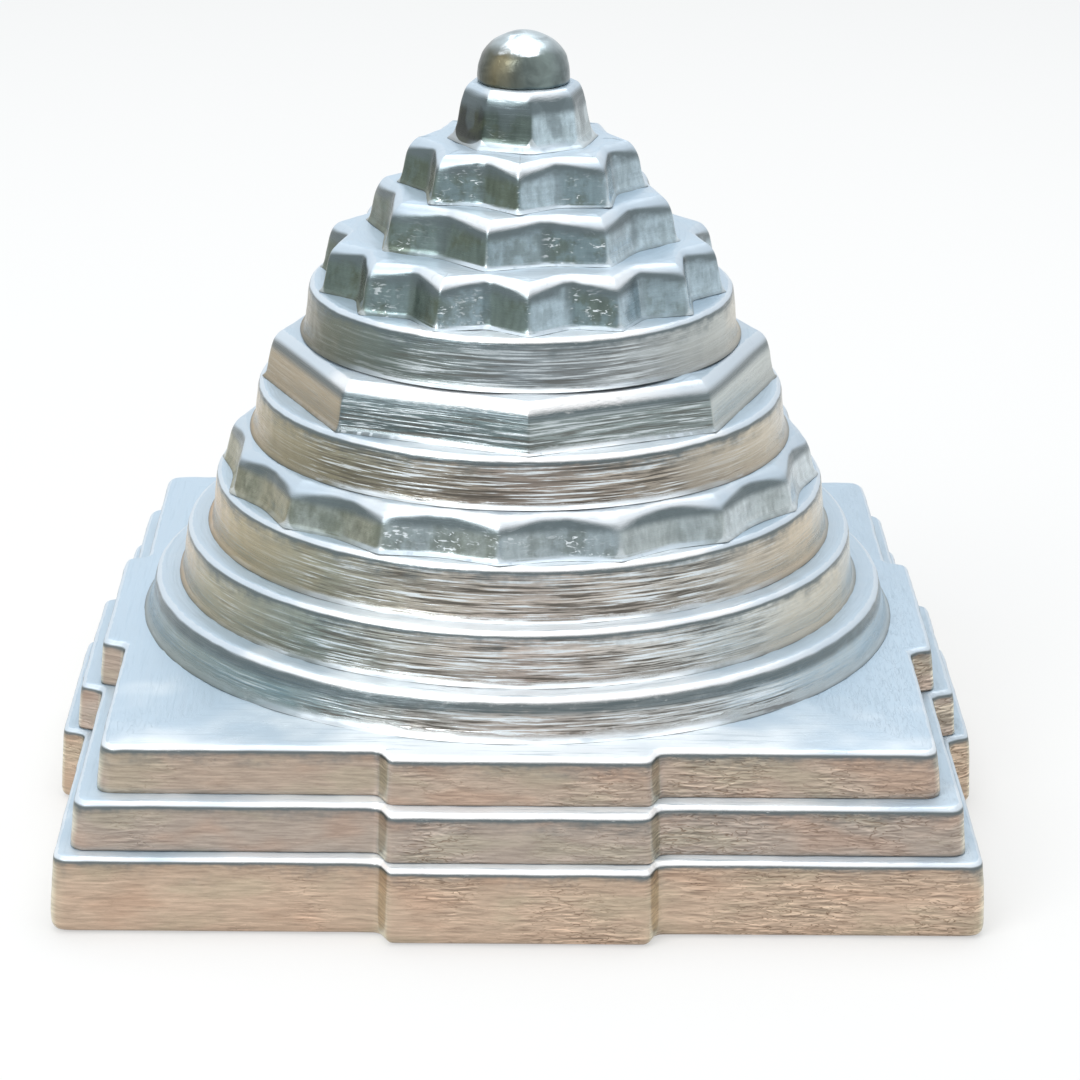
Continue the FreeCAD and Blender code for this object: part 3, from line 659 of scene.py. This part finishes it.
def burnished_casting(finish):
    """Cast white metal, burnished to a mirror on the bindu.

    The eye sees dark olive and grey reflections low down, a pale grey cap, and one
    crumpled highlight high on the front, all of them painted into the colour.
    """
    surface = Surface(new_material("burnished_casting"))
    add = surface.add
    # Painted reflection: the dome's tints by facing
    shades = "84929A 5D6462 5A5F58 706C58 5E6866 74817F 6F7A7C 8C989C"
    body = surface.shade(shades, wander=0.5)
    clouds = add("TexNoise", {"Vector": surface.place, "Scale": 620.0, "Detail": 3.0, "Distortion": 0.8})
    # Painted reflection: a pale grey cap where the dome faces up
    cap = add("Math", {0: clouds, 1: 0.3, 2: surface.up}, operation="MULTIPLY_ADD")
    body = surface.tint(body, linear("B3C1C8"), cap, 0.72, 1.08, 1.0)
    tone = add("MapRange", {0: clouds, 1: 0.3, 2: 0.7, 3: 1.3, 4: 0.72})
    body = add("VectorMath", {0: body, "Scale": tone}, operation="SCALE")
    # The highlight, a crumpled patch about 3 mm wide
    high = add("Math", {0: clouds, 1: 0.22, 2: surface.apart(surface.up, 0.79)}, operation="MULTIPLY_ADD")
    high = add("MapRange", {0: high, 1: 0.26, 2: 0.2}, **SMOOTH)
    aside = surface.apart(surface.azimuth, -0.15)
    aside = add("Math", {0: clouds, 1: 0.6, 2: aside}, operation="MULTIPLY_ADD")
    patch = add("MapRange", {0: aside, 1: 1.0, 2: 0.75}, **SMOOTH)
    patch = add("Math", {0: high, 1: patch}, operation="MULTIPLY")
    creased = add("TexNoise", {"Vector": surface.place, "Scale": 1100.0, "Detail": 3.0, "Distortion": 1.2})
    broken = add("MapRange", {0: creased, 1: 0.38, 2: 0.56, 3: 0.25, 4: 1.0}, **SMOOTH)
    patch = add("Math", {0: patch, 1: broken}, operation="MULTIPLY")
    body = add("Mix", {0: patch, 6: body, 7: finish.scratch_and_highlight}, **COLOURS)
    bump = add("Bump", {"Height": creased, "Strength": 0.35, "Distance": 0.1 * MM})
    shader = add("BsdfPrincipled", {"Base Color": body, "Metallic": 1.0, "Roughness": 0.3, "Normal": bump})
    add("OutputMaterial", {0: shader})
    return surface.material


def gated_square(node, sizes, finish):
    """Square tier: cut from a block, its gates drawn out, its edges rounded."""
    foot, lip = foot_of(node), lip_of(node)
    reach = reach_of(node) - WAVER_ROOM
    half = reach - sizes.gate_depth
    gate = sizes.gate_half_width
    root = gate + sizes.gate_splay
    near = 0.05 * MM
    deselect()
    bpy.ops.mesh.primitive_cube_add(size=1.0, location=(0, 0, (foot + lip) / 2),
                                    scale=(2 * half, 2 * half, lip - foot))
    piece = named_primitive(node + "_casting")
    for axis in (0, 1):
        for side in (-root, root):
            slice_upright(axis, side)

    def is_gate(face):
        centre = face.calc_center_median()
        return abs(face.normal.z) < 0.1 and min(abs(centre.x), abs(centre.y)) < 0.1 * gate

    pick("FACE", is_gate)
    bpy.ops.mesh.extrude_faces_move(TRANSFORM_OT_shrink_fatten={"value": sizes.gate_depth})
    for axis in (0, 1):
        pick("VERT", lambda vertex: abs(vertex.co[axis]) > half + near)
        narrow = [1.0, 1.0, 1.0]
        narrow[1 - axis] = gate / root
        bpy.ops.transform.resize(value=narrow, center_override=(0.0, 0.0, 0.0))
    pick("VERT", at_height(lip))
    shrink((reach - sizes.lip_inset) / reach, lip)
    pick("EDGE", upright_at(lambda x, y: abs(abs(x) - half) < near and abs(abs(y) - half) < near))
    bpy.ops.mesh.bevel(offset=sizes.corner_round, segments=5, affect="EDGES")
    for flank, out in ((gate, reach), (root, half)):
        pick("EDGE", upright_at(lambda x, y: abs(min(abs(x), abs(y)) - flank) < near
                                and abs(max(abs(x), abs(y)) - out) < near))
        bpy.ops.mesh.bevel(offset=sizes.gate_round, segments=3, affect="EDGES")
    pick("EDGE", rim_at(lip))
    bpy.ops.mesh.bevel(offset=sizes.lip_round, segments=3, affect="EDGES")
    pick("EDGE", rim_at(foot))
    bottom = sizes.foot_round if node == STACK[0] else SEAT_ROUND
    bpy.ops.mesh.bevel(offset=bottom, segments=2, affect="EDGES")
    for share in (0.35, 0.65):
        slice_level(foot + (lip - foot) * share)
    for axis in (0, 1):
        for step in range(-2, 3):
            slice_upright(axis, gate * step / 3)
        for step in range(1, 6):
            for side in (-1, 1):
                slice_upright(axis, side * (root + (half - root) * step / 6))
    finish_piece(piece, node, finish)
    mark_rise(piece, node)
    return piece


def round_tier(node, sizes, finish, inset):
    """Round tier: a drum, drafted, with a worn lip, rings on its tread and a cove at its foot."""
    foot, lip = foot_of(node), lip_of(node)
    reach = reach_of(node)
    deselect()
    bpy.ops.mesh.primitive_cylinder_add(vertices=112, radius=reach, depth=lip - foot,
                                        location=(0, 0, (foot + lip) / 2))
    piece = named_primitive(node + "_casting")
    pick("VERT", at_height(lip))
    shrink((reach - inset) / reach, lip)
    pick("EDGE", rim_at(lip))
    bpy.ops.mesh.bevel(offset=sizes.lip_round, segments=3, affect="EDGES")
    draw_foot_cove(foot, sizes.cove, sizes.cove_rise)
    slice_level(foot + (lip - foot) * 0.5)
    for height in (lip, foot):
        ring_the_face(height, (0.98, 0.97, 0.95, 0.9))
    finish_piece(piece, node, finish)
    mark_rise(piece, node)
    return piece


def start_star(node, count, tip, valley, turn):
    """Add a drum with a vertex at every tip and valley, and draw its valleys in."""
    foot, lip = foot_of(node), lip_of(node)
    sides = 2 * count if valley else count
    deselect()
    # The primitive's first vertex lies on +Y, and its vertices run clockwise
    bpy.ops.mesh.primitive_cylinder_add(vertices=sides, radius=tip, depth=lip - foot,
                                        location=(0, 0, (foot + lip) / 2), rotation=(0, 0, math.pi + turn))
    piece = named_primitive(node + "_casting")
    if valley:
        step = 2 * math.pi / count

        def is_valley(vertex):
            bearing = math.atan2(vertex.co.x, -vertex.co.y) - turn
            return abs((bearing / step) % 1.0 - 0.5) < 0.25

        pick("VERT", is_valley)
        shrink(valley / tip, foot)
    return piece


def pointed_tier(node, points, finish, count, tip, valley, turn, valley_round, flat, cove=None):
    """Lotus or star tier: drafted, with blunted tips, soft valleys, a worn lip and a cove."""
    foot, lip = foot_of(node), lip_of(node)
    piece = start_star(node, count, tip, valley, turn)
    pick("VERT", at_height(lip))
    shrink((tip - points.draft) / tip, lip)
    near = 0.1 * MM
    pick("EDGE", upright_at(lambda x, y: abs(math.hypot(x, y) - tip) < near))
    bpy.ops.mesh.bevel(offset=flat * 0.55, segments=2, affect="EDGES")
    if valley:
        pick("EDGE", upright_at(lambda x, y: abs(math.hypot(x, y) - valley) < near))
        bpy.ops.mesh.bevel(offset=valley_round, segments=3, affect="EDGES")
    pick("EDGE", rim_at(lip))
    bpy.ops.mesh.bevel(offset=points.lip_round, segments=3, affect="EDGES")
    reach, rise = cove or (points.cove, points.cove_rise)
    draw_foot_cove(foot, reach, rise)
    slice_level(foot + (lip - foot) * 0.55)
    for height in (lip, foot):
        ring_the_face(height, (0.985, 0.96, 0.93, 0.9))
    inner = valley or tip * math.cos(math.pi / count)
    wear_tips(lip, points.wear, inner - points.draft, tip - points.draft)
    finish_piece(piece, node, finish)
    mark_rise(piece, node)
    mark_tips(piece, node, tip, inner, points.draft)
    return piece


def domed_bindu(finish):
    """The bindu: the upper part of a ball, drawn down into a short drum."""
    foot, summit = foot_of("bindu"), lip_of("bindu")
    radius = reach_of("bindu")
    spring = summit - radius
    deselect()
    bpy.ops.mesh.primitive_uv_sphere_add(segments=48, ring_count=24, radius=radius - WAVER_ROOM / 2,
                                         location=(0, 0, spring))
    piece = named_primitive("bindu_casting")
    bpy.ops.mesh.select_all(action="SELECT")
    bpy.ops.mesh.bisect(plane_co=(0, 0, spring), plane_no=(0, 0, -1), clear_outer=True, use_fill=True,
                        threshold=EXACT)
    # Full shoulders: the ball's middle rings are drawn out, as on a worn rivet
    for low, high, ratio in ((0.2, 0.9, 1.02), (0.45, 0.85, 1.035)):
        pick("VERT", lambda v: low * radius < v.co.z - spring < high * radius)
        shrink(ratio, spring)
    pick("FACE", lambda face: face.normal.z < -0.9)
    bpy.ops.mesh.extrude_region_move(TRANSFORM_OT_translate={"value": (0, 0, foot - spring)})
    shrink(0.985, foot)
    pick("EDGE", rim_at(foot))
    bpy.ops.transform.edge_crease(value=0.9)
    finish_piece(piece, "bindu", finish, levels=1)
    mark_rise(piece, "bindu")
    return piece


def dress(piece, material):
    """Give a piece one material."""
    piece.data.materials.clear()
    piece.data.materials.append(material)


class YANTRA_OT_squares(bpy.types.Operator):
    """Model the three gated square tiers"""

    bl_idname = "yantra.squares"
    bl_label = "Square tiers"

    def execute(self, context):
        sizes, finish = context.scene.yantra_squares, context.scene.yantra_finish
        # Painted reflection over the metal's own tone: each tier's tints by facing
        shades = {
            "bhupura_lower": "B9AA95 B4AB9C DDD5BF C4B19C C2AC98 C4B19C DDD5BF BDB29D",
            "bhupura_middle": "ACA294 B0B0A8 D2CFC0 B4A69A ADA095 B4A69A D2CFC0 B5B0A2",
            "bhupura_upper": "ACA294 B0B0A8 D2CFC0 B2A397 B3A293 B2A397 D2CFC0 B5B0A2",
        }
        for node, tints in shades.items():
            dress(gated_square(node, sizes, finish), rubbed_casting(node, finish, tints))
        return {"FINISHED"}


class YANTRA_OT_rounds(bpy.types.Operator):
    """Model the three girdles and the two rings"""

    bl_idname = "yantra.rounds"
    bl_label = "Round tiers"

    def execute(self, context):
        sizes, finish = context.scene.yantra_rounds, context.scene.yantra_finish
        # Painted reflection over the metal's own tone: each tier's tints by facing
        shades = {
            "mekhala_lower": "A4AEB0 A6B2B6 96A2A0 84989B BFB6AE C4CCCE B8C8D0 BAC8CE",
            "mekhala_middle": "A8AAA6 CDB69A A8A38C 88938C B4A9A1 C2C6C3 CBC5B5 C6D0D2",
            "mekhala_upper": "A8A69C D0B594 B0A486 969889 BCB3AB B7B4AC CDBFA8 C5C8C2",
            "lotus_ring": "A09C8F C0AC8C 9F967B 8B8978 978D85 ABA498 C8BEAB C2C2BC",
            "star_ring": "989B93 8E8570 6F7264 6F7B77 8C969B A8AEAF BCC0BC C5BBA4",
        }
        for node, tints in shades.items():
            inset = sizes.lower_inset if node == "mekhala_lower" else sizes.lip_inset
            # The uppermost ring is buffed smoother
            marks = 0.65 if node == "star_ring" else 1.0
            dress(round_tier(node, sizes, finish, inset), turned_casting(node, finish, tints, marks))
        return {"FINISHED"}


class YANTRA_OT_lotuses(bpy.types.Operator):
    """Model the sixteen-petalled and the eight-cornered lotus tiers"""

    bl_idname = "yantra.lotuses"
    bl_label = "Lotus tiers"

    def execute(self, context):
        points, finish = context.scene.yantra_points, context.scene.yantra_finish
        petals = pointed_tier("lotus_sixteen", points, finish, points.petals, points.petal_tip,
                              points.petal_valley, points.petal_turn, 1.4 * MM, points.tip_flat)
        # Painted reflection over the metal's own tone: tints by facing
        tints = "A3ABAA 9A9A84 928F7A 8A928A 93A1A7 ABB5B6 C6D0D4 C8D2D7"
        dress(petals, chased_casting("petal_chased_casting", finish, tints, marks=1.0, olive=0.35))
        corners = pointed_tier("lotus_eight", points, finish, points.corners, points.corner_reach,
                               None, points.corner_turn, 0.0, points.corner_flat)
        # Painted reflection over the metal's own tone: tints by facing
        tints = "99A19F 9E9683 ADA088 6A7C81 737F7D 9DA9A9 C4CBC9 C6CAC4"
        dress(corners, turned_casting("lotus_eight", finish, tints, marks=0.75))
        return {"FINISHED"}


class YANTRA_OT_stars(bpy.types.Operator):
    """Model the star of fourteen points and the two stars of eight"""

    bl_idname = "yantra.stars"
    bl_label = "Star tiers"

    def execute(self, context):
        points, finish = context.scene.yantra_points, context.scene.yantra_finish
        # Painted reflection over the metal's own tone: tints by facing
        tints = "93A1A7 8A8D80 5F6D66 66746F 76898F A9BCC6 B4C6D0 C0D0D8"
        metal = chased_casting("point_chased_casting", finish, tints)
        stars = (
            ("star_fourteen", points.outer_points, points.outer_tip, points.outer_valley, points.outer_turn),
            ("star_eight_lower", points.inner_points, points.lower_tip, points.lower_valley,
             points.lower_turn),
            ("star_eight_upper", points.inner_points, points.upper_tip, points.upper_valley,
             points.upper_turn),
        )
        for node, count, tip, valley, turn in stars:
            star = pointed_tier(node, points, finish, count, tip, valley, turn, 0.6 * MM, points.tip_flat)
            dress(star, metal)
        return {"FINISHED"}


class YANTRA_OT_crown(bpy.types.Operator):
    """Model the crown block and the bindu"""

    bl_idname = "yantra.crown"
    bl_label = "Crown and bindu"

    def execute(self, context):
        points, finish = context.scene.yantra_points, context.scene.yantra_finish
        block = pointed_tier("crown_block", points, finish, points.corners, points.crown_reach,
                             None, points.crown_turn, 0.0, points.corner_flat,
                             cove=(points.crown_flare, 1.3 * MM))
        # Painted reflection over the metal's own tone: tints by facing
        tints = "8C9BA2 474B4A 3A3D3B 3E4741 5E6C69 C2D6E0 BCCAD0 B2BCBF"
        dress(block, chased_casting("crown_chased_casting", finish, tints, marks=0.2, olive=0.5))
        dress(domed_bindu(finish), burnished_casting(finish))
        return {"FINISHED"}


class YANTRA_OT_steel(bpy.types.Operator):
    """Give the steel parts inside their turned finish"""

    bl_idname = "yantra.steel"
    bl_label = "Steel parts"

    def execute(self, context):
        # Plain turned steel: an even grey with fine rings and a soft gloss
        finish = context.scene.yantra_finish
        steel = new_material("turned_steel")
        add = partial(add_node, steel)
        place = add("TexCoord").outputs["Object"]
        rings = add("TexWave", {"Vector": place, "Scale": 1500.0, "Distortion": 1.5}, wave_type="RINGS",
                    rings_direction="Z").outputs["Fac"]
        cloud = add("TexNoise", {"Vector": place, "Scale": 700.0})
        shade = add("Mix", {0: cloud, 6: finish.steel, 7: linear("B9BDC0")}, **COLOURS)
        gloss = add("MapRange", {0: rings, 3: 0.28, 4: 0.4})
        bump = add("Bump", {"Height": rings, "Strength": 0.2, "Distance": 0.02 * MM})
        shader = add("BsdfPrincipled", {"Base Color": shade, "Metallic": 1.0, "Roughness": gloss,
                                        "Normal": bump})
        add("OutputMaterial", {0: shader})
        for node in STEEL_NODES:
            dress(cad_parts[node], steel)
        return {"FINISHED"}


class YANTRA_OT_stage(bpy.types.Operator):
    """Lay the pale floor, set the soft lamps and aim the camera"""

    bl_idname = "yantra.stage"
    bl_label = "Stage"

    def execute(self, context):
        self.lay_floor()
        self.light_world()
        self.hang_lamps()
        self.aim_camera()
        context.scene.view_settings.view_transform = "Standard"
        return {"FINISHED"}

    def white_rays(self, add):
        """Share of white that a ray sees: all of it for the camera, for gloss and for glass."""
        ray = add("LightPath").outputs
        seen = add("Math", {0: ray["Is Camera Ray"], 1: ray["Is Glossy Ray"]}, operation="ADD")
        return add("Math", {0: seen, 1: ray["Is Transmission Ray"]}, operation="ADD", use_clamp=True)

    def lay_floor(self):
        """A wide pale floor, which the camera and the metal see as white but for its shadow."""
        deselect()
        bpy.ops.mesh.primitive_plane_add(size=4.0, location=(0, 0, 0))
        floor = bpy.context.object
        floor.name = "floor"
        card = new_material("matt_white_card")
        add = partial(add_node, card)
        lit = add("BsdfDiffuse", {"Color": linear("F4F4F2")})
        white = add("Emission", {"Color": (1, 1, 1, 1), "Strength": 1.0})
        share = add("Math", {0: self.white_rays(add), 1: 0.5}, operation="MULTIPLY")
        add("OutputMaterial", {0: add("MixShader", {0: share, 1: lit, 2: white})})
        floor.data.materials.append(card)

    def light_world(self):
        """A soft, even light from all round, white wherever the camera or the metal looks."""
        world = bpy.data.worlds.new("soft_studio")
        bpy.context.scene.world = world
        world.use_nodes = True
        world.node_tree.nodes.clear()
        add = partial(add_node, world)
        soft = add("Background", {"Color": linear("EEF4FA"), "Strength": 0.55})
        white = add("Background", {"Color": (1, 1, 1, 1), "Strength": 1.0})
        mixed = add("MixShader", {0: self.white_rays(add), 1: soft, 2: white})
        add("OutputWorld", {"Surface": mixed})

    def hang_lamps(self):
        """A large lamp above and behind, and a softer one at the front left."""
        lamps = (
            ("top_lamp", (0.02, 0.12, 0.55), 0.5, 1.8),
            ("front_lamp", (-0.35, -0.4, 0.45), 0.35, 1.6),
        )
        for name, place, size, power in lamps:
            deselect()
            bpy.ops.object.light_add(type="AREA", location=place)
            lamp = bpy.context.object
            lamp.name = name
            lamp.data.size = size
            lamp.data.energy = power
            aim = Vector((0, 0, 0.03)) - Vector(place)
            lamp.rotation_euler = aim.to_track_quat("-Z", "Y").to_euler()

    def aim_camera(self):
        """Stand the camera where the photograph was taken."""
        distance = 329.2 * MM
        pitch = math.radians(19.70)
        yaw = math.radians(0.84)
        roll = math.radians(0.76)
        target = Vector((1.91 * MM, 0.0, 20.55 * MM))
        back = Vector((0.0, -math.cos(pitch), math.sin(pitch)))
        turned = Matrix.Rotation(-yaw, 4, "Z")
        place = turned @ (target + distance * back)
        facing = turned @ Matrix.Rotation(math.pi / 2 - pitch, 4, "X") @ Matrix.Rotation(roll, 4, "Z")
        bpy.ops.object.camera_add(location=place, rotation=facing.to_euler())
        camera = bpy.context.object
        camera.name = "camera"
        camera.data.lens = 123.93
        camera.data.sensor_width = 36.0
        camera.data.clip_start = 0.01
        bpy.context.scene.camera = camera


class YANTRA_PT_panel(bpy.types.Panel):
    """Panel with the sizes, the finish and the steps of the yantra"""

    bl_idname = "YANTRA_PT_panel"
    bl_label = "Meru shri yantra"
    bl_space_type = "VIEW_3D"
    bl_region_type = "UI"
    bl_category = "Yantra"

    def draw(self, context):
        scene = context.scene
        for group in (scene.yantra_squares, scene.yantra_rounds, scene.yantra_points, scene.yantra_finish):
            box = self.layout.box()
            for name in group.__annotations__:
                box.prop(group, name)
        for operator in OPERATORS:
            self.layout.operator(operator.bl_idname)


GROUPS = {
    "yantra_squares": YantraSquares,
    "yantra_rounds": YantraRounds,
    "yantra_points": YantraPoints,
    "yantra_finish": YantraFinish,
}
OPERATORS = [
    YANTRA_OT_squares,
    YANTRA_OT_rounds,
    YANTRA_OT_lotuses,
    YANTRA_OT_stars,
    YANTRA_OT_crown,
    YANTRA_OT_steel,
    YANTRA_OT_stage,
]


def register():
    """Register the classes and attach the property groups to the scene."""
    for name, group in GROUPS.items():
        bpy.utils.register_class(group)
        setattr(bpy.types.Scene, name, PointerProperty(type=group))
    for operator in OPERATORS:
        bpy.utils.register_class(operator)
    bpy.utils.register_class(YANTRA_PT_panel)


def unregister():
    """Take everything back out, in the opposite order."""
    bpy.utils.unregister_class(YANTRA_PT_panel)
    for operator in reversed(OPERATORS):
        bpy.utils.unregister_class(operator)
    for name, group in reversed(GROUPS.items()):
        delattr(bpy.types.Scene, name)
        bpy.utils.unregister_class(group)


def main():
    """Model and dress the yantra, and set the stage."""
    register()
    bpy.ops.yantra.squares()
    bpy.ops.yantra.rounds()
    bpy.ops.yantra.lotuses()
    bpy.ops.yantra.stars()
    bpy.ops.yantra.crown()
    bpy.ops.yantra.steel()
    bpy.ops.yantra.stage()


if __name__ == "__main__":
    main()
